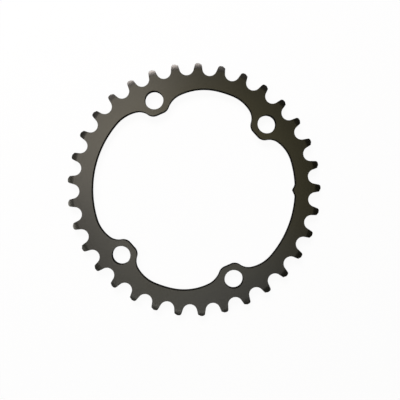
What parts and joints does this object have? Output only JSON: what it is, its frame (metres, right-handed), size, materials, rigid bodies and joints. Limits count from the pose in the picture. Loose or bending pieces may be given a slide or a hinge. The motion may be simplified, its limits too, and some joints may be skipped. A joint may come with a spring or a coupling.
{
  "type": "bicycle chainring",
  "caption": "Flat toothed aluminium ring that bolts to a bicycle crank and drives the chain, with bolt lobes on its inner edge and tooth tips thinned on both faces.",
  "frame": {"origin": "middle of the bolt circle, on the seat face that lies against the crank spider", "axes": "+Z along the ring's axis, from the seat face to the plain face; +Y midway between the two bolt holes of one pair, +X between the pairs, towards the pointer"},
  "size_m": [0.1384, 0.1384, 0.003],
  "materials": {
    "anodised_aluminium": "black anodised, fine satin"
  },
  "bodies": {
    "root": {"chainring": "anodised_aluminium"}
  },
  "joints": []
}
